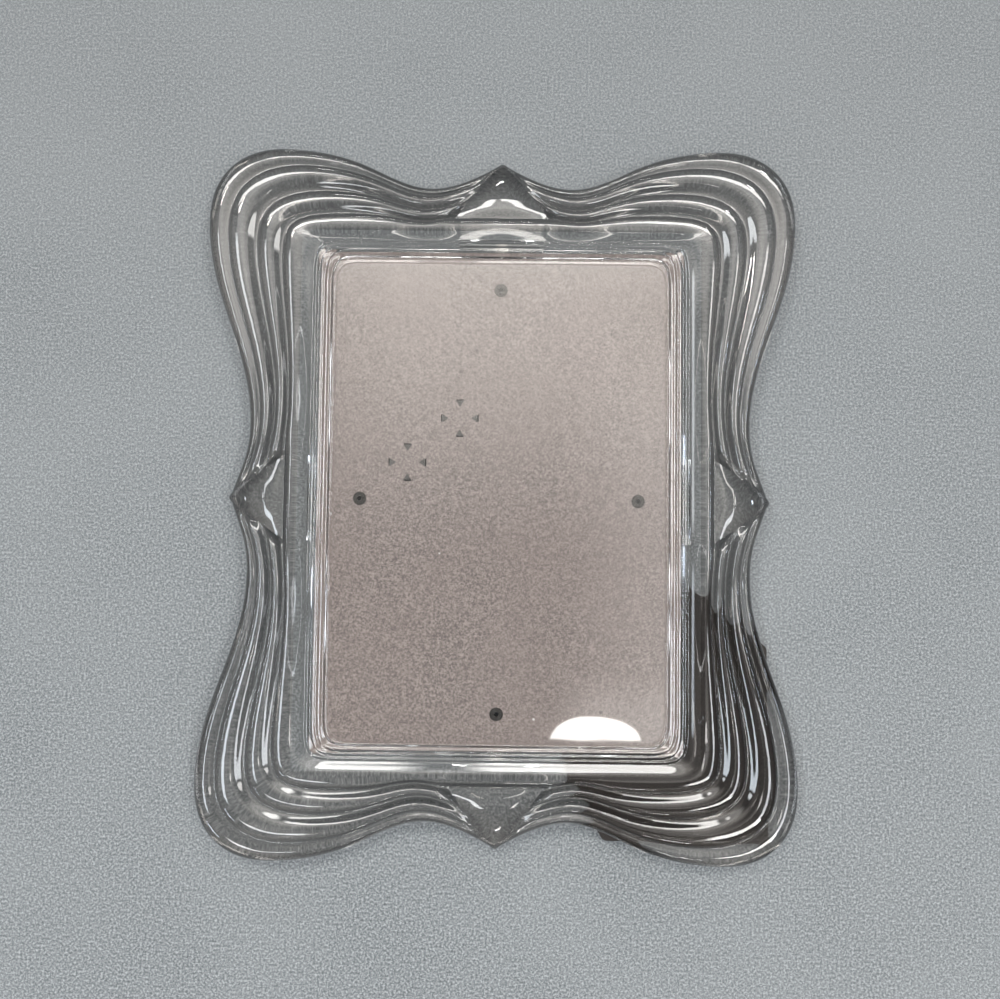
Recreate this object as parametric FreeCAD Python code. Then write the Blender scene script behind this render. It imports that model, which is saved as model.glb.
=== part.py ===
import FreeCAD, Part
import math
import os
from FreeCAD import Vector

# Curved pressed glass photo frame, lying on its back with its easel leg folded.
# Sizes are in millimetres. X runs across the frame, Y runs to its top and Z out of its front.
# The origin is below the middle of the frame, level with the back of the folded leg.

# Driving sizes of the glass border
half_width = 106.0            # middle of the frame to the widest point of a corner lobe
half_height = 127.0           # middle of the frame to the highest point of a corner lobe
glass_depth = 18.0            # flat back of the glass to the crest round the window
window_depth = 12.6           # flat back of the glass to the front of the window
cusp_half_width = 1.4         # half the width of the rounded tip of each cusp
cusp_rise = 0.9               # how far the rounded tip stands out of its two corners
side_gable_half = 18.0        # half the base of the gable facets on the left and right
end_gable_half = 20.5         # half the base of the gable facets at the top and bottom
gable_crown = 1.5             # how far a gable facet bulges along its middle line
gable_base_share = 0.80       # how far in from the cusp a gable facet ends

# Driving sizes of the recess that holds the print and the backing
print_width = 127.0
print_height = 178.0
print_margin_x = 2.7
print_margin_y = 0.9
crest_overhang = 3.4          # recess wall to the crest, seen from the front
sight_lip_x = 7.9             # how far the window bezel covers the recess at the sides
sight_lip_y = 5.6             # the same at the top and bottom
recess_corner = 2.5
recess_floor_round = 1.0

# Driving sizes of the backing
board_thickness = 2.4
cover_thickness = 0.5
backing_clearance = 0.6       # board edge to recess wall
board_corner = 2.0
print_gap = 0.6               # board to window, where the print goes

# Driving sizes of the turn buttons and their eyelets
button_inset_side = 17.2      # eyelet to recess wall for the left and right buttons
button_inset_end = 15.2       # eyelet to recess wall for the top and bottom buttons
button_reach = 18.8           # eyelet to the tip of the nose
button_root_radius = 4.5
button_nose_radius = 2.4
button_thickness = 0.9
button_rib_height = 0.35
button_rib_half = 0.8
button_play = 0.1             # gap above and below a button
eyelet_radius = 1.5
eyelet_bore = 0.8
eyelet_flange = 2.35
eyelet_flange_thickness = 0.3
eyelet_roll = 2.3
eyelet_roll_thickness = 0.5
running_gap = 0.06            # radial clearance of everything that turns on a shaft
slot_half_length = 15.0
slot_end_clearance = 0.8
slot_side_clearance = 0.45
slot_corner = 1.5

# Driving sizes of the easel leg
hinge_tilt = 40.9             # angle in degrees between the hinge line and the frame's width
stud_middle_x = -23.2
stud_middle_y = 20.9
stud_half_spacing = 12.1
leg_core_thickness = 2.2
leg_cover_thickness = 0.4
leg_lining_thickness = 0.4
leg_turn_in = 1.6             # width of the cover that is turned over the front of the leg
leg_hinge_half_width = 20.0
leg_flare = 10.8              # angle in degrees between each side of the leg and its middle
leg_heel = 4.0                # leg above the hinge pin, which stops the leg as it opens
leg_corner = 2.5
foot_inset_x = 10.0           # widest point of the glass to the foot's upright edge
foot_inset_y = 7.4            # lowest point of the glass to the foot's level edge
leg_gap = 0.4                 # folded leg to the back of the glass

# Driving sizes of the hinge and its fasteners
hinge_sheet = 0.9
hinge_pin_radius = 1.1
hinge_half_length = 19.0
hinge_knuckles = 5
knuckle_gap = 0.2
hinge_seat_gap = 0.1          # hinge barrel to the leg's lining
pin_to_studs = 12.0
fixed_leaf_reach = 19.5
fixed_leaf_corner = 7.0
moving_leaf_reach = 22.0
moving_leaf_corner = 5.0
leaf_notch_clearance = 0.4
stud_head_radius = 6.4
stud_head_thickness = 0.8
stud_head_edge = 0.35
prong_radius = 5.7            # stud middle to the inner face of a prong
prong_thickness = 0.5
prong_width = 2.6
prong_tip_length = 1.9
prong_slot_spare = 0.5
prong_count = 4
leg_rivet_x = 11.0
leg_rivet_y = 13.0
leg_rivet_radius = 1.0
leg_rivet_head = 2.4
leg_rivet_head_thickness = 0.6
leg_rivet_tail = 1.9
leg_rivet_tail_thickness = 0.4

# Shares of a rib and of an edge's rounding, and one overrun for every cut
rib_root_share = 0.8          # where a turn button's rib starts, as a share of its round root
edge_round_share = 0.8        # how much of a thin edge its rounding takes
overrun = 5.0

# Control points of a quarter of the outline, from the side cusp round the lobe to the end cusp,
# as shares of the half width and of the half height
outline_shares = [(0.890, 0.030), (0.870, 0.075), (0.837, 0.157), (0.844, 0.299),
                  (0.901, 0.457), (0.991, 0.646), (1.014, 0.878), (0.887, 0.992),
                  (0.722, 1.008), (0.472, 0.972), (0.241, 0.843), (0.052, 0.934)]
side_cusp_share = 0.899
end_cusp_share = 0.953

# The control points of the crest that belong to them: up the side, the corner, then along the end,
# as shares of the straight run from the gable's base to the corner
crest_side_shares = [0.03, 0.10, 0.22, 0.38, 0.57, 0.80]
crest_end_shares = [0.76, 0.52, 0.32, 0.14, 0.045]

# Section of the border from its back edge over the rim and three risers to the crest: each row is
# the share of the way from the outline to the crest, the height on the flutes and the height on
# the gable facets, both as shares of the glass depth
border_section_shares = [(0.110, 0.000, 0.000), (0.045, 0.000, 0.000), (0.006, 0.045, 0.045),
                         (0.000, 0.150, 0.150), (0.004, 0.290, 0.290), (0.045, 0.400, 0.400),
                         (0.120, 0.455, 0.460), (0.205, 0.420, 0.500), (0.228, 0.435, 0.510),
                         (0.236, 0.600, 0.515), (0.290, 0.670, 0.540), (0.400, 0.680, 0.590),
                         (0.505, 0.585, 0.635), (0.533, 0.600, 0.645), (0.541, 0.765, 0.650),
                         (0.595, 0.835, 0.665), (0.680, 0.850, 0.690), (0.775, 0.770, 0.700),
                         (0.800, 0.785, 0.705), (0.808, 0.925, 0.870), (0.850, 0.985, 0.965),
                         (0.900, 1.000, 1.000), (0.950, 1.000, 1.000)]

# Section of the bezel from the crest down two steps to the window: the share of the way from the
# crest to the window's edge and the share of the drop
bezel_section_shares = [(0.000, 0.030), (0.160, 0.120), (0.320, 0.220), (0.385, 0.250),
                        (0.410, 0.360), (0.540, 0.400), (0.575, 0.500), (0.700, 0.540),
                        (0.735, 0.640), (0.860, 0.690), (0.900, 0.730), (0.915, 0.950),
                        (0.950, 1.000), (1.000, 1.000)]

# Where the control points across a gable facet stand, from its middle to its edge
gable_column_shares = [1.0, 0.7, 0.35, 0.0, -0.35, -0.7, -1.0]

# Heights that follow from the sizes above
leg_front_z = leg_cover_thickness + leg_core_thickness + leg_lining_thickness
glass_back_z = leg_front_z + leg_gap
knuckle_radius = hinge_pin_radius + hinge_sheet
pin_z = leg_front_z + hinge_seat_gap + knuckle_radius
cover_back_z = pin_z + knuckle_radius
board_back_z = cover_back_z + cover_thickness
board_front_z = board_back_z + board_thickness
recess_floor_z = board_front_z + print_gap
button_front_z = cover_back_z - button_play
button_back_z = button_front_z - button_thickness
window_z = glass_back_z + window_depth

# Plan sizes that follow from the sizes above
recess_x = print_width / 2 + print_margin_x
recess_y = print_height / 2 + print_margin_y
crest_x = recess_x + crest_overhang
crest_y = recess_y + crest_overhang
window_x = recess_x - sight_lip_x
window_y = recess_y - sight_lip_y
board_x = recess_x - backing_clearance
board_y = recess_y - backing_clearance
button_side_x = recess_x - button_inset_side
button_end_y = recess_y - button_inset_end
axis_x = math.cos(math.radians(hinge_tilt))
axis_y = math.sin(math.radians(hinge_tilt))
pin_x = stud_middle_x + pin_to_studs * axis_y
pin_y = stud_middle_y - pin_to_studs * axis_x
foot_x = half_width - foot_inset_x
foot_y = foot_inset_y - half_height

# Name, place and direction of each turn button
button_places = [("top", 0.0, button_end_y, 90.0), ("right", button_side_x, 0.0, 0.0),
                 ("bottom", 0.0, -button_end_y, 270.0), ("left", -button_side_x, 0.0, 180.0)]


def blend(start, end, share):
    return start + (end - start) * share


def rounded_plate(half_x, half_y, corner, bottom, top):
    """Plate with round corners, its middle on the frame's axis."""
    box = Part.makeBox(2 * half_x, 2 * half_y, top - bottom, Vector(-half_x, -half_y, bottom))
    uprights = [edge for edge in box.Edges if abs(edge.tangentAt(edge.FirstParameter).z) > 0.5]
    return box.makeFillet(corner, uprights)


def cylinder(radius, bottom, top, x=0.0, y=0.0):
    return Part.makeCylinder(radius, top - bottom, Vector(x, y, bottom))


def rounded_polygon(points, corner):
    """Closed wire through the points with an arc of the given radius at each corner."""
    edges = []
    count = len(points)
    starts = []
    ends = []
    middles = []
    for index in range(count):
        here = points[index]
        back = (points[index - 1] - here).normalize()
        ahead = (points[(index + 1) % count] - here).normalize()
        half_angle = back.getAngle(ahead) / 2
        run = corner / math.tan(half_angle)
        inward = (back + ahead).normalize()
        starts.append(here + back * run)
        ends.append(here + ahead * run)
        middles.append(here + inward * (corner / math.sin(half_angle) - corner))
    for index in range(count):
        edges.append(Part.Arc(starts[index], middles[index], ends[index]).toShape())
        edges.append(Part.LineSegment(ends[index], starts[(index + 1) % count]).toShape())
    return Part.Wire(edges)


def extrude_wire(wire, bottom, top):
    face = Part.Face(wire)
    face.translate(Vector(0, 0, bottom))
    return face.extrude(Vector(0, 0, top - bottom))


def outline_points():
    """Control points of a quarter of the outline, cusp to cusp."""
    points = [Vector(half_width * side_cusp_share, cusp_half_width, 0)]
    for across, along in outline_shares:
        points.append(Vector(half_width * across, half_height * along, 0))
    points.append(Vector(cusp_half_width, half_height * end_cusp_share, 0))
    return points


def rectangle_points(reach_x, reach_y):
    """Control points of a quarter of a bezel line, matched to those of the outline."""
    points = [Vector(reach_x, side_gable_half, 0)]
    for share in crest_side_shares:
        points.append(Vector(reach_x, blend(side_gable_half, reach_y, share), 0))
    points.append(Vector(reach_x, reach_y, 0))
    for share in crest_end_shares:
        points.append(Vector(blend(end_gable_half, reach_x, share), reach_y, 0))
    points.append(Vector(end_gable_half, reach_y, 0))
    return points


def section_rows(outer, crest, window, fades):
    """Rows of control points across the border, each row running along it."""
    rows = []
    for share, flute, facet in border_section_shares:
        row = []
        for start, end, fade in zip(outer, crest, fades):
            height = glass_depth * blend(facet, flute, fade)
            row.append(blend(start, end, share) + Vector(0, 0, glass_back_z + height))
        rows.append(row)
    for share, drop in bezel_section_shares:
        height = blend(glass_depth, window_depth, drop)
        rows.append([blend(start, end, share) + Vector(0, 0, glass_back_z + height)
                     for start, end in zip(crest, window)])
    return rows


def net_face(rows):
    """Smooth face from rows of control points, curved along the rows and across them."""
    surface = Part.BSplineSurface()
    across = len(rows)
    along = len(rows[0])
    across_knots = list(range(across - 1))
    along_knots = list(range(along - 2))
    surface.buildFromPolesMultsKnots(rows, [3] + [1] * (across - 3) + [3],
                                     [4] + [1] * (along - 4) + [4],
                                     across_knots, along_knots, False, False, 2, 3)
    return surface.toShape()


def lobe_rows():
    """The fluted quarter from the right gable to the top gable."""
    outer = outline_points()
    fades = [0.0] + [1.0] * (len(outer) - 2) + [0.0]
    return section_rows(outer, rectangle_points(crest_x, crest_y),
                        rectangle_points(window_x, window_y), fades)


def gable_rows(edge_outer, edge_crest, edge_window, outward):
    """A gable facet, mirrored about the line through the cusp. Outward is the cusp's direction."""
    across = Vector(-outward.y, outward.x, 0)

    def line(edge, lift):
        half = edge.dot(across)
        reach = edge.dot(outward)
        return [across * (half * share) + outward * (reach + lift * (1 - share * share))
                for share in gable_column_shares]

    rows = section_rows(line(edge_outer, cusp_rise), line(edge_crest, 0.0),
                        line(edge_window, 0.0), [0.0] * len(gable_column_shares))
    for row, (share, flute, facet) in zip(rows, border_section_shares):
        if facet > 0 and share < gable_base_share:
            swell = gable_crown * math.sin(math.pi * share / gable_base_share)
            for point, column in zip(row, gable_column_shares):
                point.z = point.z + swell * (1 - column * column)
    return rows


def mirror_rows(rows, scale_x, scale_y):
    return [[Vector(point.x * scale_x, point.y * scale_y, point.z) for point in row]
            for row in rows]


def border_faces():
    """The eight faces of the border: four fluted lobes and four gables."""
    lobe = lobe_rows()
    crest = rectangle_points(crest_x, crest_y)
    window = rectangle_points(window_x, window_y)
    outer = outline_points()
    side = gable_rows(outer[0], crest[0], window[0], Vector(1, 0, 0))
    end = gable_rows(outer[-1], crest[-1], window[-1], Vector(0, 1, 0))
    nets = [lobe, mirror_rows(lobe, -1, 1), mirror_rows(lobe, -1, -1), mirror_rows(lobe, 1, -1),
            side, mirror_rows(side, -1, 1), end, mirror_rows(end, 1, -1)]
    return [net_face(net) for net in nets]


def level_face(faces, height):
    """Flat face inside the border's edges that lie at the given height."""
    edges = []
    for face in faces:
        for edge in face.Edges:
            box = edge.BoundBox
            if abs(box.ZMin - height) < cusp_rise / 10 and abs(box.ZMax - height) < cusp_rise / 10:
                edges.append(edge)
    return Part.Face(Part.Wire(Part.__sortEdges__(edges)))


def glass_blank():
    """The solid pressed glass before its back is hollowed."""
    faces = border_faces()
    shell = Part.makeShell(faces + [level_face(faces, glass_back_z), level_face(faces, window_z)])
    shell.sewShape()
    return Part.makeSolid(shell)


def recess_cutter():
    plate = rounded_plate(recess_x, recess_y, recess_corner, glass_back_z - overrun,
                          recess_floor_z)
    rim = [edge for edge in plate.Edges if edge.BoundBox.ZMin > recess_floor_z - print_gap / 2]
    return plate.makeFillet(recess_floor_round, rim)


def slot_cutter(x, y, direction):
    """Cutter for the ground slot that a button's nose turns into."""
    reach = button_reach + slot_end_clearance
    bottom = button_back_z - slot_side_clearance
    height = button_thickness + 2 * slot_side_clearance
    box = Part.makeBox(reach, 2 * slot_half_length, height, Vector(0, -slot_half_length, bottom))
    far = [edge for edge in box.Edges
           if edge.BoundBox.XMin > reach / 2 and edge.BoundBox.ZLength > height / 2]
    box = box.makeFillet(slot_corner, far)
    box.rotate(Vector(0, 0, 0), Vector(0, 0, 1), direction)
    box.translate(Vector(x, y, 0))
    return box


def glass_frame():
    slots = [slot_cutter(x, y, direction) for name, x, y, direction in button_places]
    return glass_blank().cut(recess_cutter()).cut(slots).removeSplitter()


def place_on_easel(shape):
    """Move a shape from the hinge's own axes to its place. X is the pin, the leg runs to -Y."""
    moved = shape.copy()
    moved.rotate(Vector(0, 0, 0), Vector(0, 0, 1), hinge_tilt)
    moved.translate(Vector(pin_x, pin_y, 0))
    return moved


def prong_cutters():
    """Holes for the prongs of both studs, seen in the hinge's own axes."""
    cutters = []
    for side in (-1, 1):
        for index in range(prong_count):
            slot = Part.makeBox(prong_thickness + prong_slot_spare, prong_width,
                                board_front_z + overrun,
                                Vector(prong_radius, -prong_width / 2, 0))
            slot.rotate(Vector(0, 0, 0), Vector(0, 0, 1), prong_turn(index))
            slot.translate(Vector(side * stud_half_spacing, pin_to_studs, 0))
            cutters.append(slot)
    return cutters


def prong_turn(index):
    """Direction of a prong in the hinge's own axes. The prongs point along X and Y."""
    return 360.0 / prong_count * index - hinge_tilt


def eyelet_holes(radius):
    return [cylinder(radius, 0, board_front_z + overrun, x, y)
            for name, x, y, direction in button_places]


def backing_sheet(bottom, top):
    sheet = rounded_plate(board_x, board_y, board_corner, bottom, top)
    cutters = eyelet_holes(eyelet_radius)
    cutters += [place_on_easel(slot) for slot in prong_cutters()]
    return sheet.cut(cutters)


def turn_button():
    """Flat turn button in its own axes: the eyelet at the origin and the nose to +X."""
    nose_x = button_reach - button_nose_radius
    lean = math.asin((button_root_radius - button_nose_radius) / nose_x)
    side = Vector(math.sin(lean), math.cos(lean), 0)
    other = Vector(side.x, -side.y, 0)
    nose = Vector(nose_x, 0, 0)
    edges = [Part.Arc(side * button_root_radius, Vector(-button_root_radius, 0, 0),
                      other * button_root_radius),
             Part.LineSegment(other * button_root_radius, nose + other * button_nose_radius),
             Part.Arc(nose + other * button_nose_radius, Vector(button_reach, 0, 0),
                      nose + side * button_nose_radius),
             Part.LineSegment(nose + side * button_nose_radius, side * button_root_radius)]
    wire = Part.Wire([edge.toShape() for edge in edges])
    plate = extrude_wire(wire, button_back_z, button_front_z)
    rib = Part.makeBox(nose_x - button_root_radius, 2 * button_rib_half,
                       button_rib_height + button_thickness / 2,
                       Vector(button_root_radius * rib_root_share, -button_rib_half,
                              button_back_z - button_rib_height))
    lower = [edge for edge in rib.Edges if edge.BoundBox.ZMax < button_back_z]
    rib = rib.makeFillet(button_rib_height * edge_round_share, lower)
    hole = cylinder(eyelet_radius + running_gap, 0, board_front_z)
    return plate.fuse(rib).cut(hole)


def eyelet():
    """Tubular eyelet: flange on the front of the board, barrel, and roll behind the button."""
    roll_top = button_back_z - button_play
    roll_bottom = roll_top - eyelet_roll_thickness
    flange_top = board_front_z + eyelet_flange_thickness
    barrel = cylinder(eyelet_radius, roll_top, board_front_z)
    flange = cylinder(eyelet_flange, board_front_z, flange_top)
    flange = flange.makeFillet(eyelet_flange_thickness * edge_round_share, [highest_edge(flange)])
    roll = cylinder(eyelet_roll, roll_bottom, roll_top)
    roll = roll.makeFillet(eyelet_roll_thickness * edge_round_share, [lowest_edge(roll)])
    bore = cylinder(eyelet_bore, roll_bottom - overrun, flange_top + overrun)
    return barrel.fuse([flange, roll]).cut(bore).removeSplitter()


def highest_edge(shape):
    rings = [edge for edge in shape.Edges if edge.BoundBox.ZLength < eyelet_bore / 10]
    return max(rings, key=lambda edge: edge.BoundBox.ZMin)


def lowest_edge(shape):
    rings = [edge for edge in shape.Edges if edge.BoundBox.ZLength < eyelet_bore / 10]
    return min(rings, key=lambda edge: edge.BoundBox.ZMin)


def leg_polygon():
    """Corners of the leg, seen from the front: two at the hinge and three at the foot."""
    slope = math.tan(math.radians(leg_flare))
    heel_half = leg_hinge_half_width - leg_heel * slope
    corners = []
    for side in (-1, 1):
        corner = Vector(side * heel_half, leg_heel, 0)
        run = Vector(side * slope, -1, 0)
        corners.append((turn_to_frame(corner) + Vector(pin_x, pin_y, 0), turn_to_frame(run)))
    (left, left_run), (right, right_run) = corners
    foot_left = left + left_run * ((foot_y - left.y) / left_run.y)
    foot_right = right + right_run * ((foot_x - right.x) / right_run.x)
    return [left, foot_left, Vector(foot_x, foot_y, 0), foot_right, right]


def turn_to_frame(vector):
    return Vector(vector.x * axis_x - vector.y * axis_y, vector.x * axis_y + vector.y * axis_x, 0)


def leg_layer(inset, bottom, top):
    """Slab with the leg's outline drawn in by the inset."""
    wire = rounded_polygon(leg_polygon(), leg_corner)
    if inset > 0:
        wire = wire.makeOffset2D(-inset)
    return extrude_wire(wire, bottom, top)


def leg_rivet_places():
    spots = [turn_to_frame(Vector(side * leg_rivet_x, -leg_rivet_y, 0)) for side in (-1, 1)]
    return [(spot.x + pin_x, spot.y + pin_y) for spot in spots]


def leg_rivet_holes(bottom, top):
    return [cylinder(leg_rivet_radius, bottom, top, x, y) for x, y in leg_rivet_places()]


def leg_core():
    bottom = leg_cover_thickness
    top = bottom + leg_core_thickness
    tails = [cylinder(leg_rivet_tail, 0, bottom + leg_rivet_tail_thickness, x, y)
             for x, y in leg_rivet_places()]
    slab = leg_layer(leg_cover_thickness, bottom, top)
    return slab.cut(tails + leg_rivet_holes(0, top + overrun))


def leg_cover():
    """Cloth wrapped round the back and edges of the leg and turned over its front."""
    core_top = leg_cover_thickness + leg_core_thickness
    whole = leg_layer(0.0, 0, leg_front_z)
    inside = leg_layer(leg_cover_thickness, leg_cover_thickness, core_top)
    opening = leg_layer(leg_turn_in, core_top, leg_front_z)
    return whole.cut([inside, opening])


def leg_lining():
    core_top = leg_cover_thickness + leg_core_thickness
    slab = leg_layer(leg_turn_in, core_top, leg_front_z)
    return slab.cut(leg_rivet_holes(0, leg_front_z + overrun))


def leg_rivet(x, y):
    leaf_top = leg_front_z + hinge_sheet
    head_top = leaf_top + leg_rivet_head_thickness
    tail_top = leg_cover_thickness + leg_rivet_tail_thickness
    shank = cylinder(leg_rivet_radius, tail_top, leaf_top)
    head = cylinder(leg_rivet_head, leaf_top, head_top)
    head = head.makeFillet(leg_rivet_head_thickness * edge_round_share, [highest_edge(head)])
    tail = cylinder(leg_rivet_tail, leg_cover_thickness, tail_top)
    rivet = shank.fuse([head, tail])
    rivet.translate(Vector(x, y, 0))
    return rivet


def knuckle_spans(fixed):
    """Start and end along the pin of each knuckle of one leaf."""
    pitch = 2 * hinge_half_length / hinge_knuckles
    spans = []
    for index in range(hinge_knuckles):
        if (index % 2 == 0) == fixed:
            start = index * pitch - hinge_half_length
            spans.append((start + knuckle_gap / 2, start + pitch - knuckle_gap / 2))
    return spans


def hinge_leaf(fixed):
    """One leaf in the hinge's own axes, with the other leaf's knuckles cut clear."""
    if fixed:
        reach = fixed_leaf_reach
        corner = fixed_leaf_corner
        bottom = pin_z + hinge_pin_radius
    else:
        reach = moving_leaf_reach
        corner = moving_leaf_corner
        bottom = leg_front_z
    plate = Part.makeBox(2 * hinge_half_length, reach, hinge_sheet,
                         Vector(-hinge_half_length, 0 if fixed else -reach, bottom))
    far = [edge for edge in plate.Edges
           if edge.BoundBox.ZLength > hinge_sheet / 2 and abs(edge.BoundBox.YMin) > reach / 2]
    plate = plate.makeFillet(corner, far)
    notch_depth = knuckle_radius + leaf_notch_clearance
    for start, end in knuckle_spans(not fixed):
        notch = Part.makeBox(end - start + 2 * knuckle_gap, 2 * notch_depth, 2 * overrun,
                             Vector(start - knuckle_gap, -notch_depth, pin_z - overrun))
        plate = plate.cut(notch)
    rolls = []
    for start, end in knuckle_spans(fixed):
        rolls.append(Part.makeCylinder(knuckle_radius, end - start, Vector(start, 0, pin_z),
                                       Vector(1, 0, 0)))
    inner = hinge_pin_radius if fixed else hinge_pin_radius + running_gap
    bore = Part.makeCylinder(inner, 4 * hinge_half_length,
                             Vector(-2 * hinge_half_length, 0, pin_z), Vector(1, 0, 0))
    leaf = plate.fuse(rolls).cut(bore).removeSplitter()
    if fixed:
        leaf = leaf.cut(prong_cutters())
    else:
        leaf = leaf.cut([cylinder(leg_rivet_radius, 0, board_front_z, side * leg_rivet_x,
                                  -leg_rivet_y) for side in (-1, 1)])
    return place_on_easel(leaf)


def hinge_pin():
    pin = Part.makeCylinder(hinge_pin_radius, 2 * hinge_half_length,
                            Vector(-hinge_half_length, 0, pin_z), Vector(1, 0, 0))
    return place_on_easel(pin)


def hinge_stud(side):
    """Stud with a shallow head behind the leaf and four prongs clinched over the board's front."""
    head_top = pin_z + hinge_pin_radius
    head_bottom = head_top - stud_head_thickness
    head = cylinder(stud_head_radius, head_bottom, head_top)
    head = head.makeFillet(stud_head_edge, [lowest_edge(head)])
    prongs = []
    for index in range(prong_count):
        post = Part.makeBox(prong_thickness, prong_width, board_front_z - head_top,
                            Vector(prong_radius, -prong_width / 2, head_top))
        base = prong_radius + prong_thickness
        tip = rounded_tip(base)
        prong = post.fuse(tip)
        prong.rotate(Vector(0, 0, 0), Vector(0, 0, 1), prong_turn(index))
        prongs.append(prong)
    stud = head.fuse(prongs).removeSplitter()
    stud.translate(Vector(side * stud_half_spacing, pin_to_studs, 0))
    return place_on_easel(stud)


def rounded_tip(base):
    """The clinched end of a prong, which lies on the board and points at the stud's middle."""
    corners = [Vector(base, -prong_width / 2, 0), Vector(base, prong_width / 2, 0),
               Vector(base - prong_tip_length, prong_thickness / 2, 0),
               Vector(base - prong_tip_length, -prong_thickness / 2, 0)]
    wire = Part.makePolygon(corners + [corners[0]])
    return extrude_wire(wire, board_front_z, board_front_z + eyelet_flange_thickness)


def build():
    parts = {"glass_frame": glass_frame(),
             "backing_board": backing_sheet(board_back_z, board_front_z),
             "backing_cover": backing_sheet(cover_back_z, board_back_z),
             "hinge_fixed_leaf": hinge_leaf(True),
             "hinge_moving_leaf": hinge_leaf(False),
             "hinge_pin": hinge_pin(),
             "hinge_stud_lower": hinge_stud(-1),
             "hinge_stud_upper": hinge_stud(1),
             "leg_core": leg_core(),
             "leg_cover": leg_cover(),
             "leg_lining": leg_lining()}
    for name, place in zip(("lower", "upper"), leg_rivet_places()):
        parts["leg_rivet_" + name] = leg_rivet(*place)
    for name, x, y, direction in button_places:
        button = turn_button()
        button.rotate(Vector(0, 0, 0), Vector(0, 0, 1), direction)
        button.translate(Vector(x, y, 0))
        ring = eyelet()
        ring.translate(Vector(x, y, 0))
        parts["turn_button_" + name] = button
        parts["button_eyelet_" + name] = ring
    return parts


os.makedirs("parts", exist_ok=True)
for node, shape in build().items():
    print(node, shape.ShapeType, "valid", shape.isValid(), "solids", len(shape.Solids),
          "volume", round(shape.Volume, 1))
    shape.exportStep("parts/" + node + ".step")
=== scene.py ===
import math

import bmesh
import bpy
import numpy as np
from mathutils import Matrix, Vector


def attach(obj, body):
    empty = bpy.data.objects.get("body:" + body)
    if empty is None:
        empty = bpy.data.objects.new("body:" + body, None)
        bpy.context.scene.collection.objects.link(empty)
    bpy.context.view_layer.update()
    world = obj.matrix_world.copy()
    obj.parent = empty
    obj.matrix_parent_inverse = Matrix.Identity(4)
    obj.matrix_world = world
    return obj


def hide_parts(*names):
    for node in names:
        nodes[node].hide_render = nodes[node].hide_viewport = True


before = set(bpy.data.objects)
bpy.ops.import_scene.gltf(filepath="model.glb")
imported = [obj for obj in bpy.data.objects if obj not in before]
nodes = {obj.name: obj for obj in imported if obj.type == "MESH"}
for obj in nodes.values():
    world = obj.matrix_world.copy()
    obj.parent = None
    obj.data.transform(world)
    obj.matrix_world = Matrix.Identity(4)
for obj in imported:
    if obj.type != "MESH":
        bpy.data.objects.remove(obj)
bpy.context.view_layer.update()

MM = 0.001

# Sizes of the glass in millimetres, the same as in the part's source
half_width = 106.0
half_height = 127.0
glass_depth = 18.0
window_depth = 12.6
cusp_half_width = 1.4
cusp_rise = 0.9
side_gable_half = 18.0
end_gable_half = 20.5
gable_crown = 1.5
gable_base_share = 0.80
recess_x = 66.2
recess_y = 89.9
crest_overhang = 3.4
sight_lip_x = 7.9
sight_lip_y = 5.6
crest_x = recess_x + crest_overhang
crest_y = recess_y + crest_overhang
window_x = recess_x - sight_lip_x
window_y = recess_y - sight_lip_y
recess_corner = 2.5
recess_floor_round = 1.0
glass_back_z = 3.4
recess_floor_z = 10.7
slot_bottom_z = 5.65
slot_top_z = 7.45
slot_reach = 19.6
slot_half_length = 15.0
button_side_x = 49.0
button_end_y = 74.7

# Outline round one lobe, from the side's cusp to the end's, in shares of the half sizes
outline_shares = [(0.890, 0.030), (0.870, 0.075), (0.837, 0.157), (0.844, 0.299),
                  (0.901, 0.457), (0.991, 0.646), (1.014, 0.878), (0.887, 0.992),
                  (0.722, 1.008), (0.472, 0.972), (0.241, 0.843), (0.052, 0.934)]
side_cusp_share = 0.899
end_cusp_share = 0.953

# Where the crest and the window take up the outline's columns, along their side and their end
crest_side_shares = [0.03, 0.10, 0.22, 0.38, 0.57, 0.80]
crest_end_shares = [0.76, 0.52, 0.32, 0.14, 0.045]

# Section of the border: share of the way from the outline to the crest, and shares of the
# glass's depth over the waves and over the gable facets
border_section_shares = [(0.110, 0.000, 0.000), (0.045, 0.000, 0.000), (0.006, 0.045, 0.045),
                         (0.000, 0.150, 0.150), (0.004, 0.290, 0.290), (0.045, 0.400, 0.400),
                         (0.120, 0.455, 0.460), (0.205, 0.420, 0.500), (0.228, 0.435, 0.510),
                         (0.236, 0.600, 0.515), (0.290, 0.670, 0.540), (0.400, 0.680, 0.590),
                         (0.505, 0.585, 0.635), (0.533, 0.600, 0.645), (0.541, 0.765, 0.650),
                         (0.595, 0.835, 0.665), (0.680, 0.850, 0.690), (0.775, 0.770, 0.700),
                         (0.800, 0.785, 0.705), (0.808, 0.925, 0.870), (0.850, 0.985, 0.965),
                         (0.900, 1.000, 1.000), (0.950, 1.000, 1.000)]

# Section of the bezel: share of the way from the crest to the window, and of the drop
bezel_section_shares = [(0.000, 0.030), (0.160, 0.120), (0.320, 0.220), (0.385, 0.250),
                        (0.410, 0.360), (0.540, 0.400), (0.575, 0.500), (0.700, 0.540),
                        (0.735, 0.640), (0.860, 0.690), (0.900, 0.730), (0.915, 0.950),
                        (0.950, 1.000), (1.000, 1.000)]

# Columns of a gable facet, in shares of its half width
gable_column_shares = [1.0, 0.7, 0.35, 0.0, -0.35, -0.7, -1.0]

# Degrees of the nets, and the steps of the fine mesh in each of their spans
degree_across = 2
degree_along = 3
steps_across = 6
steps_along = 12

# Distance in millimetres within which the edges of neighbouring nets are one
seam_distance = 0.002

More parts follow.
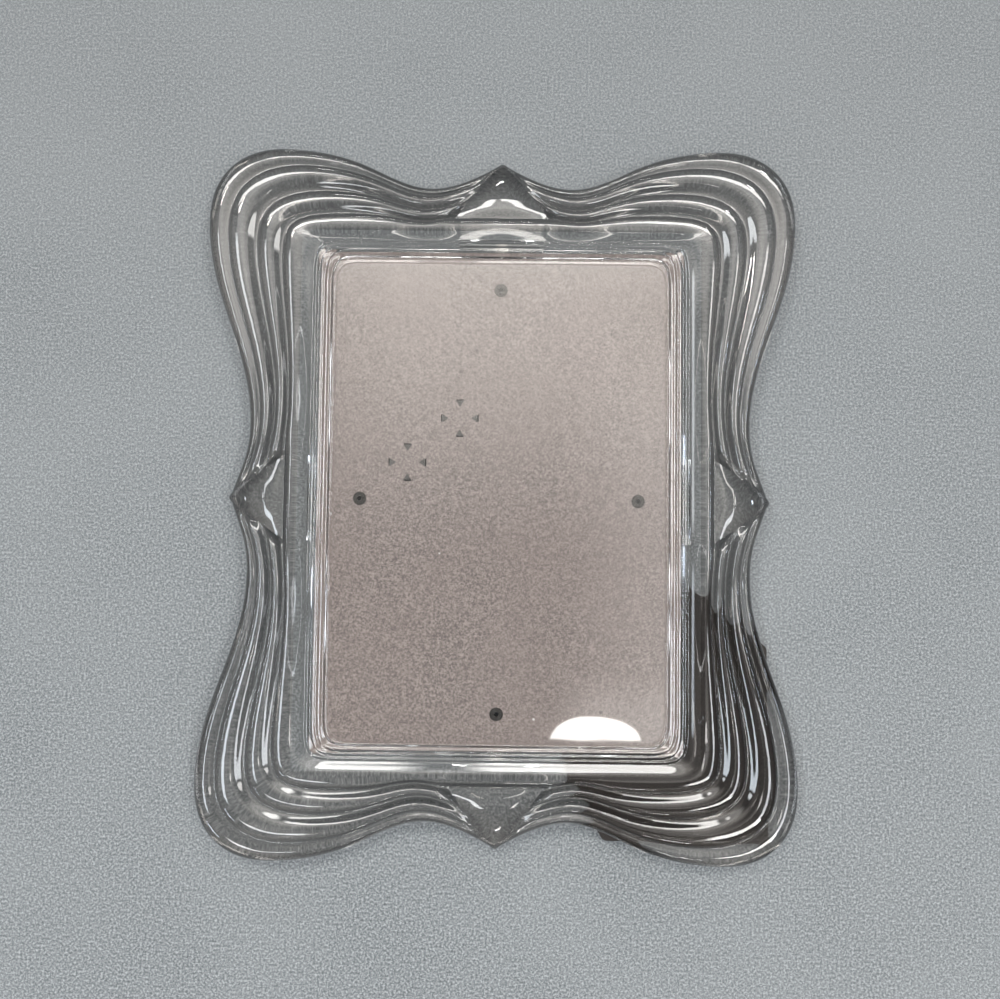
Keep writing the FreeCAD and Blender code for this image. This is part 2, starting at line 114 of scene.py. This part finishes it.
# The recess cutter starts this far behind the part, and its roundings have these steps
cutter_start_z = -3.0
corner_steps = 8
edge_steps = 6

# Edges with a turn of more degrees stay sharp, and faces more level than this stay flat
crease_degrees = 38
flat_normal_z = 0.9999

# Glass inside the crest has the pane's material from this height above the flat back
pane_start = 0.1


# Finely meshed glass

def spline_matrix(count, degree, steps):
    """Weights of the control points at evenly spaced stations along a clamped even spline."""
    spans = count - degree
    knots = [0.0] * degree + [float(k) for k in range(spans + 1)] + [float(spans)] * degree
    stations = np.linspace(0.0, spans, spans * steps + 1)
    weights = np.zeros((len(stations), len(knots) - 1))
    for index in range(len(knots) - 1):
        low, high = knots[index], knots[index + 1]
        if high > low:
            inside = (stations >= low) & (stations < high)
            if high == spans:
                inside = inside | (stations == high)
            weights[inside, index] = 1.0
    for level in range(1, degree + 1):
        raised = np.zeros((len(stations), weights.shape[1] - 1))
        for index in range(raised.shape[1]):
            left = knots[index + level] - knots[index]
            right = knots[index + level + 1] - knots[index + 1]
            if left > 0:
                raised[:, index] += (stations - knots[index]) / left * weights[:, index]
            if right > 0:
                share = (knots[index + level + 1] - stations) / right
                raised[:, index] += share * weights[:, index + 1]
        weights = raised
    return weights


def outline_points():
    """Control points of the outline of the quarter with both axes positive."""
    points = [(half_width * side_cusp_share, cusp_half_width)]
    points += [(half_width * across, half_height * along) for across, along in outline_shares]
    points.append((cusp_half_width, half_height * end_cusp_share))
    return np.array(points)


def rectangle_points(reach_x, reach_y):
    """As many points along a rectangle, with its square corner among them."""
    points = [(reach_x, side_gable_half)]
    for share in crest_side_shares:
        points.append((reach_x, side_gable_half + (reach_y - side_gable_half) * share))
    points.append((reach_x, reach_y))
    for share in crest_end_shares:
        points.append((end_gable_half + (reach_x - end_gable_half) * share, reach_y))
    points.append((end_gable_half, reach_y))
    return np.array(points)


def section_rows(outer, crest, window, fades):
    """Net over the border and the bezel, whose waves fade out where fades is 0."""
    rows = []
    for share, flute, facet in border_section_shares:
        plan = outer + (crest - outer) * share
        height = glass_back_z + glass_depth * (facet + (flute - facet) * fades)
        rows.append(np.column_stack([plan, height]))
    for share, drop in bezel_section_shares:
        plan = crest + (window - crest) * share
        height = glass_back_z + glass_depth + (window_depth - glass_depth) * drop
        rows.append(np.column_stack([plan, np.full(len(plan), height)]))
    return np.array(rows)


def lobe_net():
    """Net of one quarter, from one gable facet to the next."""
    outer = outline_points()
    fades = np.array([0.0] + [1.0] * (len(outer) - 2) + [0.0])
    crest = rectangle_points(crest_x, crest_y)
    window = rectangle_points(window_x, window_y)
    return section_rows(outer, crest, window, fades)


def gable_net(column, outward):
    """Net of a gable facet from the lobe's column beside it."""
    outer = outline_points()[column]
    crest = rectangle_points(crest_x, crest_y)[column]
    window = rectangle_points(window_x, window_y)[column]
    outward = np.array(outward, float)
    across = np.array([-outward[1], outward[0]])
    shares = np.array(gable_column_shares)

    def line(edge, lift):
        reach = edge @ outward + lift * (1 - shares ** 2)
        return np.outer(shares * (edge @ across), across) + np.outer(reach, outward)

    net = section_rows(line(outer, cusp_rise), line(crest, 0.0), line(window, 0.0),
                       np.zeros(len(shares)))
    for row, (share, flute, facet) in zip(net, border_section_shares):
        if facet > 0 and share < gable_base_share:
            swell = gable_crown * math.sin(math.pi * share / gable_base_share)
            row[:, 2] += swell * (1 - shares ** 2)
    return net


def glass_blank():
    """Front and rim of the pressed glass, with the nets unjoined and the back open."""
    lobe = lobe_net()
    side = gable_net(0, (1, 0))
    end = gable_net(-1, (0, 1))
    nets = [lobe, lobe * [-1, 1, 1], lobe * [-1, -1, 1], lobe * [1, -1, 1],
            side, side * [-1, 1, 1], end, end * [1, -1, 1]]
    verts = []
    faces = []
    for net in nets:
        rows, columns = net.shape[:2]
        across = spline_matrix(rows, degree_across, steps_across)
        along = spline_matrix(columns, degree_along, steps_along)
        grid = np.einsum("ar,rck,bc->abk", across, net, along)
        start = len(verts)
        verts.extend(grid.reshape(-1, 3).tolist())
        height, width = grid.shape[:2]
        for row in range(height - 1):
            for column in range(width - 1):
                first = start + row * width + column
                faces.append((first, first + 1, first + width + 1, first + width))
    mesh = bpy.data.meshes.new("pressed_glass")
    mesh.from_pydata([[c * MM for c in v] for v in verts], [], faces)
    return mesh


def close_and_orient(mesh):
    """Joins the nets, closes the open back and turns every face outward."""
    work = bmesh.new()
    work.from_mesh(mesh)
    bmesh.ops.remove_doubles(work, verts=work.verts, dist=seam_distance * MM)
    rims = [edge for edge in work.edges if len(edge.link_faces) == 1]
    bmesh.ops.holes_fill(work, edges=rims, sides=0)
    bmesh.ops.recalc_face_normals(work, faces=work.faces)
    work.to_mesh(mesh)
    work.free()


def rounded_box(name, half_x, half_y, bottom, top, corner, top_round):
    """Closed box with round upright corners and a rounded top edge."""
    levels = [(0.0, bottom)]
    for step in range(edge_steps + 1):
        angle = math.pi / 2 * step / edge_steps
        levels.append((top_round * (1 - math.cos(angle)),
                       top - top_round + top_round * math.sin(angle)))
    verts = []
    for inset, height in levels:
        radius = corner - inset
        for quarter, (sx, sy) in enumerate(((1, 1), (-1, 1), (-1, -1), (1, -1))):
            for turn in range(corner_steps + 1):
                angle = math.pi / 2 * (quarter + turn / corner_steps)
                verts.append((sx * (half_x - corner) + radius * math.cos(angle),
                              sy * (half_y - corner) + radius * math.sin(angle), height))
    count = 4 * (corner_steps + 1)
    faces = [tuple(range(count))[::-1]]
    for level in range(len(levels) - 1):
        for index in range(count):
            ahead = (index + 1) % count
            faces.append((level * count + index, level * count + ahead,
                          (level + 1) * count + ahead, (level + 1) * count + index))
    faces.append(tuple(range((len(levels) - 1) * count, len(levels) * count)))
    mesh = bpy.data.meshes.new(name)
    mesh.from_pydata([[c * MM for c in v] for v in verts], [], faces)
    return mesh


def slot_mesh(x, y, direction):
    """Box that cuts the slot for the nose of the turn button at this place."""
    turn = Matrix.Rotation(math.radians(direction), 4, "Z")
    place = Matrix.Translation((x * MM, y * MM, 0)) @ turn
    verts = []
    for height in (slot_bottom_z, slot_top_z):
        for across, along in ((0, -slot_half_length), (slot_reach, -slot_half_length),
                              (slot_reach, slot_half_length), (0, slot_half_length)):
            verts.append(place @ Vector((across * MM, along * MM, height * MM)))
    faces = [(3, 2, 1, 0), (4, 5, 6, 7), (0, 1, 5, 4), (1, 2, 6, 5), (2, 3, 7, 6), (3, 0, 4, 7)]
    mesh = bpy.data.meshes.new("slot")
    mesh.from_pydata(verts, [], faces)
    return mesh


def put(name, mesh):
    piece = bpy.data.objects.new(name, mesh)
    bpy.context.scene.collection.objects.link(piece)
    return piece


def cut(piece, cutters):
    """Takes the cutters' space out of the piece for good."""
    for cutter in cutters:
        modifier = piece.modifiers.new("cut", "BOOLEAN")
        modifier.operation = "DIFFERENCE"
        modifier.solver = "EXACT"
        modifier.object = cutter
    bpy.context.view_layer.update()
    shaped = bpy.data.meshes.new_from_object(
        piece.evaluated_get(bpy.context.evaluated_depsgraph_get()))
    piece.modifiers.clear()
    piece.data = shaped
    for cutter in cutters:
        bpy.data.objects.remove(cutter)


def smooth(mesh):
    """Smooth shading that leaves sharp edges and level faces flat."""
    mesh.shade_smooth()
    mesh.set_sharp_from_angle(angle=math.radians(crease_degrees))
    for polygon in mesh.polygons:
        if abs(polygon.normal.z) > flat_normal_z:
            polygon.use_smooth = False


def make_glass():
    """Pressed glass with its recess and slots, in place of the part's plain glass."""
    mesh = glass_blank()
    close_and_orient(mesh)
    glass = put("pressed_glass", mesh)
    recess = rounded_box("recess_cutter", recess_x, recess_y, cutter_start_z, recess_floor_z,
                         recess_corner, recess_floor_round)
    cutters = [put("recess_cutter", recess)]
    for x, y, direction in ((0, button_end_y, 90), (button_side_x, 0, 0),
                            (0, -button_end_y, 270), (-button_side_x, 0, 180)):
        cutters.append(put("slot_cutter", slot_mesh(x, y, direction)))
    cut(glass, cutters)
    glass.data.name = "pressed_glass"
    smooth(glass.data)
    glass.data.materials.clear()
    glass.data.materials.append(glass_material("clear_glass", border_shade_tones, border_wave,
                                               border_passes))
    glass.data.materials.append(glass_material("clear_pane", pane_shade_tones, pane_wave, pane_passes))
    for polygon in glass.data.polygons:
        middle = polygon.center / MM
        inside = abs(middle.x) < crest_x and abs(middle.y) < crest_y
        if inside and middle.z > glass_back_z + pane_start:
            polygon.material_index = 1
    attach(glass, "frame")
    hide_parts("glass_frame")


# Materials

# Tone of the glass by how level its surface is, from upright 0 to level 1: painted shade that
# darkens the sloping faces against the level ones
border_shade_tones = [(0.0, (0.74, 0.75, 0.75)), (0.38, (0.56, 0.565, 0.57)),
                (0.58, (0.10, 0.099, 0.102)), (0.82, (0.18, 0.175, 0.172)),
                (0.93, (0.33, 0.319, 0.309)), (0.975, (0.47, 0.453, 0.438)),
                (1.0, (0.64, 0.616, 0.596))]
pane_shade_tones = [(0.15, (0.60, 0.60, 0.60)), (0.70, (0.80, 0.80, 0.79)),
              (0.97, (0.96, 0.965, 0.96))]

# Share of a lamp's light that goes through the glass, by the same measure
border_passes = [(0.45, 0.25), (0.98, 0.92)]
pane_passes = [(0.45, 0.60), (0.98, 0.95)]

# Height in metres of the faint waviness of the pressing
border_wave = 0.00010
pane_wave = 0.00002

glass_index = 1.56
mirror_strength = 1.0

# Dark specks and pale dust on the board: cells per metre, strength, share of cells without
# a dot, colour
board_specks = [(150, 1.0, 0.80, (0.060, 0.048, 0.045)), (210, 0.9, 0.84, (0.62, 0.60, 0.58))]

velvet_dark = (0.012, 0.011, 0.010)
velvet_light = (0.060, 0.053, 0.049)

# Slant in degrees of the easel's hinge, which the pin's grain and the velvet's nap follow
hinge_slant = 40.9

sides = ("top", "right", "bottom", "left")

# Half the side of the table, and how far it stays below the part, in metres
table_reach = 3.0
table_gap = 0.0002


class Wiring:
    """A material's node tree, with short ways to add and join nodes."""

    def __init__(self, name):
        self.material = bpy.data.materials.new(name)
        self.material.use_nodes = True
        self.tree = self.material.node_tree
        self.shader = self.tree.nodes["Principled BSDF"]
        self.output = self.tree.nodes["Material Output"]
        self.place = self.add("ShaderNodeTexCoord").outputs["Object"]

    def add(self, kind, **settings):
        node = self.tree.nodes.new(kind)
        for key, value in settings.items():
            setattr(node, key, value)
        return node

    def join(self, start, end):
        self.tree.links.new(start, end)

    def noise(self, scale, detail=3.0, roughness=0.5, stretch=None):
        node = self.add("ShaderNodeTexNoise")
        node.inputs["Scale"].default_value = scale
        node.inputs["Detail"].default_value = detail
        node.inputs["Roughness"].default_value = roughness
        self.join(self.stretched(stretch), node.inputs["Vector"])
        return node.outputs["Fac"]

    def stretched(self, stretch):
        """Object place scaled by three numbers, and turned by a fourth in degrees."""
        if stretch is None:
            return self.place
        mapping = self.add("ShaderNodeMapping")
        mapping.inputs["Scale"].default_value = stretch[:3]
        if len(stretch) > 3:
            mapping.inputs["Rotation"].default_value = (0, 0, math.radians(stretch[3]))
        self.join(self.place, mapping.inputs["Vector"])
        return mapping.outputs["Vector"]

    def cells(self, scale):
        node = self.add("ShaderNodeTexVoronoi")
        node.inputs["Scale"].default_value = scale
        self.join(self.place, node.inputs["Vector"])
        return node

    def ramp(self, value, stops):
        node = self.add("ShaderNodeValToRGB")
        elements = node.color_ramp.elements
        while len(elements) < len(stops):
            elements.new(0.5)
        for element, (at, colour) in zip(elements, stops):
            element.position = at
            if isinstance(colour, float):
                colour = (colour, colour, colour)
            element.color = (*colour, 1.0)
        self.join(value, node.inputs["Fac"])
        return node.outputs["Color"]

    def spread(self, value, low, high, new_low, new_high):
        node = self.add("ShaderNodeMapRange")
        for key, number in (("From Min", low), ("From Max", high),
                            ("To Min", new_low), ("To Max", new_high)):
            node.inputs[key].default_value = number
        self.join(value, node.inputs["Value"])
        return node.outputs["Result"]

    def math(self, operation, first, second):
        node = self.add("ShaderNodeMath", operation=operation)
        for socket, value in zip(node.inputs, (first, second)):
            if isinstance(value, (int, float)):
                socket.default_value = value
            else:
                self.join(value, socket)
        return node.outputs["Value"]

    def mix(self, share, first, second):
        node = self.add("ShaderNodeMix", data_type="RGBA")
        for name, value in (("Factor", share), ("A", first), ("B", second)):
            sockets = [s for s in node.inputs if s.name == name and s.enabled]
            socket = sockets[-1]
            if isinstance(value, (int, float)):
                socket.default_value = value
            elif isinstance(value, tuple):
                socket.default_value = (*value, 1.0)
            else:
                self.join(value, socket)
        return [s for s in node.outputs if s.enabled][0]

    def bump(self, height, distance):
        node = self.add("ShaderNodeBump")
        node.inputs["Strength"].default_value = 1.0
        node.inputs["Distance"].default_value = distance
        self.join(height, node.inputs["Height"])
        self.join(node.outputs["Normal"], self.shader.inputs["Normal"])

    def set(self, **values):
        for key, value in values.items():
            socket = self.shader.inputs[key.replace("_", " ")]
            if isinstance(value, (int, float, tuple)):
                socket.default_value = (*value, 1.0) if isinstance(value, tuple) else value
            else:
                self.join(value, socket)


def glass_material(name, shade_tones, wave, passes):
    """Clear glass with painted shade that darkens it on its slopes, and that lets lamps shine
    straight through.
    """
    w = Wiring(name)
    split = w.add("ShaderNodeSeparateXYZ")
    w.join(w.add("ShaderNodeTexCoord").outputs["Normal"], split.inputs[0])
    level = w.math("ABSOLUTE", split.outputs["Z"], 0.0)
    # The base colour's ramp over the slope is painted shade on the sloping faces
    w.set(Base_Color=w.ramp(level, shade_tones), Roughness=0.0, IOR=glass_index,
          Transmission_Weight=1.0, Specular_IOR_Level=mirror_strength)
    w.bump(w.noise(40, detail=1.0), wave)
    clear = w.add("ShaderNodeBsdfTransparent")
    w.join(w.ramp(level, passes), clear.inputs["Color"])
    path = w.add("ShaderNodeLightPath")
    either = w.math("MAXIMUM", path.outputs["Is Shadow Ray"], path.outputs["Is Diffuse Ray"])
    mixer = w.add("ShaderNodeMixShader")
    w.join(either, mixer.inputs[0])
    w.join(w.shader.outputs["BSDF"], mixer.inputs[1])
    w.join(clear.outputs["BSDF"], mixer.inputs[2])
    w.join(mixer.outputs["Shader"], w.output.inputs["Surface"])
    return w.material


def hardboard_material():
    """Raw pressed fibre board, with fine fibres, small specks and soft stains."""
    w = Wiring("hardboard")
    fibre = w.noise(1350, detail=3.0, roughness=0.85)
    cloud = w.noise(35, detail=3.0)
    base = w.ramp(fibre, [(0.37, (0.066, 0.054, 0.048)), (0.50, (0.164, 0.134, 0.123)),
                          (0.63, (0.312, 0.262, 0.243))])
    base = w.mix(w.spread(cloud, 0.35, 0.65, 0.0, 0.35), base, (0.185, 0.148, 0.135))
    for scale, strength, empty_share, tone in board_specks:
        cells = w.cells(scale)
        dots = w.spread(cells.outputs["Distance"], 0.06, 0.11, strength, 0.0)
        chance = w.spread(cells.outputs["Color"], empty_share, empty_share + 0.01, 0.0, 1.0)
        base = w.mix(w.math("MULTIPLY", dots, chance), base, tone)
    w.set(Base_Color=base, Roughness=w.spread(fibre, 0.3, 0.7, 0.75, 0.92))
    w.bump(fibre, 0.00006)
    return w.material


def velvet_material(name):
    """Short dark pile: fine fibres, a soft sheen and a faint nap."""
    w = Wiring(name)
    pile = w.noise(2600, detail=3.0, roughness=0.8)
    nap = w.noise(30, detail=3.0, stretch=(1.0, 3.0, 1.0, hinge_slant))
    base = w.ramp(pile, [(0.32, velvet_dark), (0.68, velvet_light)])
    base = w.mix(w.spread(nap, 0.35, 0.7, 0.0, 0.4), base, velvet_light)
    w.set(Base_Color=base, Roughness=w.spread(pile, 0.3, 0.7, 0.85, 1.0), Sheen_Weight=0.03,
          Sheen_Roughness=0.5, Specular_IOR_Level=0.2)
    w.bump(pile, 0.00012)
    return w.material


def board_core_material():
    """Brown board seen in section, with its fibres lying flat."""
    w = Wiring("leg_board")
    fibre = w.noise(900, detail=4.0, stretch=(1.0, 1.0, 5.0))
    base = w.ramp(fibre, [(0.3, (0.20, 0.15, 0.12)), (0.7, (0.36, 0.29, 0.24))])
    w.set(Base_Color=base, Roughness=w.spread(fibre, 0.3, 0.7, 0.7, 0.9))
    w.bump(fibre, 0.00005)
    return w.material


def steel_material(name, tone, rough, streak):
    """Dull nickel plate with a fine brushed grain, small dents and darker wear."""
    w = Wiring(name)
    grain = w.noise(700, detail=3.0, stretch=streak)
    wear = w.noise(220, detail=4.0, roughness=0.65)
    dark = tuple(c * 0.55 for c in tone)
    base = w.mix(w.spread(wear, 0.45, 0.72, 0.0, 0.7), tone, dark)
    w.set(Base_Color=base, Metallic=1.0,
          Roughness=w.math("ADD", w.spread(grain, 0.3, 0.7, rough - 0.08, rough + 0.10),
                           w.spread(wear, 0.4, 0.7, 0.0, 0.12)))
    w.bump(w.math("ADD", grain, w.math("MULTIPLY", wear, 0.6)), 0.00003)
    return w.material


def table_material():
    """Grey speckled surface, with painted shade that makes it a little darker towards the far
    side.
    """
    w = Wiring("grey_surface")
    speck = w.noise(1250, detail=4.0, roughness=0.8)
    cloud = w.noise(14, detail=3.0)
    base = w.ramp(speck, [(0.37, (0.046, 0.055, 0.060)), (0.50, (0.150, 0.163, 0.170)),
                          (0.63, (0.355, 0.372, 0.380))])
    base = w.mix(w.spread(cloud, 0.35, 0.65, 0.0, 0.18), base, (0.27, 0.285, 0.29))
    # Painted shade: the colour darkens towards the far side in place of light falling off across
    # the table
    split = w.add("ShaderNodeSeparateXYZ")
    w.join(w.place, split.inputs[0])
    painted_falloff = w.spread(split.outputs["Y"], -0.17, 0.17, 0.0, 0.45)
    base = w.mix(painted_falloff, base, (0.12, 0.128, 0.132))
    w.set(Base_Color=base, Roughness=w.spread(speck, 0.3, 0.7, 0.55, 0.75))
    w.bump(speck, 0.00005)
    return w.material


def dress(material, names):
    """Gives the CAD nodes of these names the material."""
    for name in names:
        slots = nodes[name].data.materials
        slots.clear()
        slots.append(material)


def dress_nodes():
    dress(hardboard_material(), ["backing_board"])
    dress(velvet_material("backing_cloth"), ["backing_cover"])
    dress(velvet_material("leg_velvet"), ["leg_cover", "leg_lining"])
    dress(board_core_material(), ["leg_core"])
    dress(steel_material("plated_steel", (0.30, 0.29, 0.275), 0.38, (1.0, 6.0, 1.0)),
          ["turn_button_" + side for side in sides]
          + ["hinge_fixed_leaf", "hinge_moving_leaf"])
    dress(steel_material("stud_steel", (0.050, 0.047, 0.045), 0.55, None),
          ["hinge_stud_lower", "hinge_stud_upper"])
    dress(steel_material("eyelet_steel", (0.028, 0.026, 0.024), 0.45, None),
          ["button_eyelet_" + side for side in sides])
    dress(steel_material("pin_steel", (0.50, 0.49, 0.47), 0.25, (6.0, 1.0, 1.0, hinge_slant)),
          ["hinge_pin"])
    dress(steel_material("rivet_steel", (0.55, 0.54, 0.52), 0.28, None),
          ["leg_rivet_lower", "leg_rivet_upper"])


def make_floor():
    """Table under the frame, staged and so no piece of the part."""
    mesh = bpy.data.meshes.new("table_surface")
    reach = table_reach
    mesh.from_pydata([(-reach, -reach, 0), (reach, -reach, 0), (reach, reach, 0),
                      (-reach, reach, 0)], [], [(0, 1, 2, 3)])
    floor = put("table_surface", mesh)
    floor.location.z = -table_gap
    mesh.materials.append(table_material())


# Light

# Bright areas overhead: direction, half width, half height, soft edge, radiance, colour.
# Widths and heights are tangents of angles, as seen from the middle of the part.
studio_glows = [
    ((0.0, 0.24, 1.0), 0.20, 0.11, 0.14, 2.2, (1.0, 0.95, 0.88)),
    ((0.17, 0.02, 1.0), 0.07, 0.16, 0.07, 1.1, (1.0, 0.96, 0.92)),
    ((0.12, -0.15, 1.0), 0.06, 0.04, 0.03, 1.3, (1.0, 0.97, 0.93)),
    ((0.0, 0.40, 1.0), 0.45, 0.10, 0.06, 2.8, (1.0, 0.97, 0.93)),
    ((-0.40, 0.57, 1.0), 0.255, 0.058, 0.02, 16.5, (1.0, 0.98, 0.95)),
    ((0.30, 0.57, 1.0), 0.29, 0.058, 0.02, 17.0, (1.0, 0.98, 0.95)),
    ((-0.52, 0.18, 1.0), 0.07, 0.12, 0.015, 12.0, (0.93, 0.97, 1.0)),
    ((-0.52, -0.16, 1.0), 0.07, 0.14, 0.015, 12.5, (0.84, 0.92, 1.0)),
    ((0.52, 0.14, 1.0), 0.07, 0.14, 0.015, 11.5, (1.0, 0.98, 0.95)),
    ((0.52, -0.24, 1.0), 0.07, 0.16, 0.015, 12.0, (0.93, 0.96, 1.0)),
    ((-0.30, -0.50, 1.0), 0.10, 0.04, 0.015, 14.0, (0.95, 0.98, 1.0)),
    ((0.36, -0.46, 1.0), 0.13, 0.06, 0.015, 20.0, (1.0, 0.98, 0.95)),
]

# Bright half round whose mirror image is low in the window: direction, half width, rise,
# radiance, colour
dome_lamp = ((0.0785, -0.150, 1.0), 0.040, 0.022, 9.0, (1.0, 0.98, 0.95))

# Dim studio: its colour, its radiance at the horizon and overhead, and the height of the latter
room_colour = (0.95, 1.0, 1.05)
room_low = 0.03
room_high = 0.14
room_top = 0.9

# Cosine of the angle to a glow's direction at which it ends, and over which it fades
glow_limit = 0.05
dome_limit = 0.5
limit_fade = 0.01

# Where the half round's soft edge starts, in its squared radius, and the share of its rise
# that its straight foot takes up
dome_edge_start = 0.85
dome_foot = 0.10

# Studio lamps: name, place, width, height, radiance, colour
studio_lamps = [
    ("key", (0.70, 0.97, 1.07), 0.10, 0.12, 50.0, (1.0, 0.98, 0.96)),
    ("left_window", (-0.66, 0.62, 1.20), 0.11, 0.07, 46.0, (1.0, 0.94, 0.88)),
    ("right_strip", (1.17, 0.06, 0.76), 0.26, 0.045, 38.0, (0.74, 0.84, 1.0)),
    ("low_left_strip", (-0.92, -0.80, 0.69), 0.24, 0.04, 38.0, (0.78, 0.86, 1.0)),
    ("low_strip", (0.12, -1.15, 0.80), 0.24, 0.035, 38.0, (1.0, 0.99, 0.97)),
    ("left_strip", (-1.20, -0.05, 0.74), 0.24, 0.03, 36.0, (0.86, 0.91, 1.0)),
    ("far_strip", (-0.10, 1.20, 0.72), 0.28, 0.03, 38.0, (1.0, 0.98, 0.96)),
    ("low_right_window", (0.72, -0.70, 1.10), 0.10, 0.08, 44.0, (0.97, 0.98, 1.0)),
]


def softbox(name, place, width, height, radiance, colour):
    """Area lamp turned to the part, with the power that gives it this radiance."""
    data = bpy.data.lights.new(name, "AREA")
    data.shape = "RECTANGLE"
    data.size = width
    data.size_y = height
    data.energy = radiance * math.pi * width * height
    data.color = colour
    lamp = bpy.data.objects.new(name, data)
    bpy.context.scene.collection.objects.link(lamp)
    lamp.location = place
    lamp.rotation_euler = Vector(place).to_track_quat("Z", "Y").to_euler()


def make_world():
    """Dim studio round the table, with the bright areas overhead."""
    world = bpy.data.worlds.new("studio")
    bpy.context.scene.world = world
    world.use_nodes = True
    tree = world.node_tree

    def add(kind, *values, **settings):
        node = tree.nodes.new(kind)
        for key, value in settings.items():
            setattr(node, key, value)
        for socket, value in zip(node.inputs, values):
            if isinstance(value, bpy.types.NodeSocket):
                tree.links.new(value, socket)
            elif value is not None:
                socket.default_value = value
        return node

    def maths(operation, *values):
        return add("ShaderNodeMath", *values, operation=operation).outputs["Value"]

    def smooth_step(value, low, high, low_value, high_value):
        return add("ShaderNodeMapRange", value, low, high, low_value, high_value,
                   interpolation_type="SMOOTHSTEP").outputs["Result"]

    where = add("ShaderNodeTexCoord").outputs["Generated"]

    def along(direction):
        return add("ShaderNodeVectorMath", where, tuple(direction),
                   operation="DOT_PRODUCT").outputs["Value"]

    def tinted(colour, value):
        return add("ShaderNodeVectorMath", colour, None, None, value,
                   operation="SCALE").outputs["Vector"]

    def axes(direction):
        """How far a direction goes ahead, to the side and up, seen along this one."""
        forward = Vector(direction).normalized()
        side = Vector((0, 1, 0)).cross(forward).normalized()
        return along(forward), along(side), along(forward.cross(side))

    def window(direction, half_width, half_height, soft, radiance, colour):
        """Bright rectangle with soft edges."""
        ahead, *off_axis = axes(direction)
        value = smooth_step(ahead, glow_limit, glow_limit + limit_fade, 0.0, radiance)
        safe = maths("MAXIMUM", ahead, glow_limit)
        for part, half in zip(off_axis, (half_width, half_height)):
            off = maths("ABSOLUTE", maths("DIVIDE", part, safe))
            value = maths("MULTIPLY", value, smooth_step(off, half - soft, half + soft, 1.0, 0.0))
        return tinted(colour, value)

    def dome(direction, half_width, rise, radiance, colour):
        """Bright half round with a straight lower edge."""
        ahead, side, up = axes(direction)
        safe = maths("MAXIMUM", ahead, glow_limit)
        across = maths("DIVIDE", maths("DIVIDE", side, safe), half_width)
        upward = maths("DIVIDE", maths("DIVIDE", up, safe), rise)
        reach = maths("ADD", maths("MULTIPLY", across, across), maths("MULTIPLY", upward, upward))
        value = maths("MULTIPLY", smooth_step(reach, dome_edge_start, 1.0, radiance, 0.0),
                      smooth_step(upward, 0.0, dome_foot, 0.0, 1.0))
        return tinted(colour, maths("MULTIPLY", value, smooth_step(
            ahead, dome_limit, dome_limit + limit_fade, 0.0, 1.0)))

    height = add("ShaderNodeSeparateXYZ", where).outputs["Z"]
    glows = [tinted(room_colour, smooth_step(height, 0.0, room_top, room_low, room_high))]
    glows += [window(*numbers) for numbers in studio_glows]
    glows.append(dome(*dome_lamp))
    total = glows[0]
    for glow in glows[1:]:
        total = add("ShaderNodeVectorMath", total, glow, operation="ADD").outputs["Vector"]
    tree.links.new(total, tree.nodes["Background"].inputs["Color"])


# Camera, as fitted to the photograph: metres, degrees and pixels per metre at the aim's height
camera_distance = 0.400
aim_height = 0.009
camera_scale = 2821.0
photo_width = 1000.0
camera_roll = 0.646
camera_lean = (-0.00716, 0.0614)
aim_pixels = (1.27, 0.95)
sensor_width = 36.0


def make_camera():
    """Camera of the photograph: nearly straight above, a little to the lower side."""
    roll = math.radians(camera_roll)
    lean_x, lean_y = camera_lean
    right = Vector((math.cos(roll), math.sin(roll), 0))
    up = Vector((-math.sin(roll), math.cos(roll), 0))
    view = right * lean_x + up * lean_y
    view.z = -math.sqrt(1 - lean_x ** 2 - lean_y ** 2)
    aim_x, aim_y = (pixels / camera_scale for pixels in aim_pixels)
    aim = right * aim_x + up * aim_y + Vector((0, 0, aim_height))
    place = aim - view * camera_distance
    right = (right - view * right.dot(view)).normalized()
    up = right.cross(view)
    data = bpy.data.cameras.new("photo_camera")
    data.sensor_width = sensor_width
    data.lens = sensor_width * camera_scale * camera_distance / photo_width
    data.clip_start = 0.01
    camera = bpy.data.objects.new("photo_camera", data)
    bpy.context.scene.collection.objects.link(camera)
    turn = Matrix((right, up, -view)).transposed().to_4x4()
    camera.matrix_world = Matrix.Translation(place) @ turn
    bpy.context.scene.camera = camera


make_glass()
dress_nodes()
make_floor()
make_world()
for lamp in studio_lamps:
    softbox(*lamp)
make_camera()
bpy.context.scene.view_settings.view_transform = "Standard"
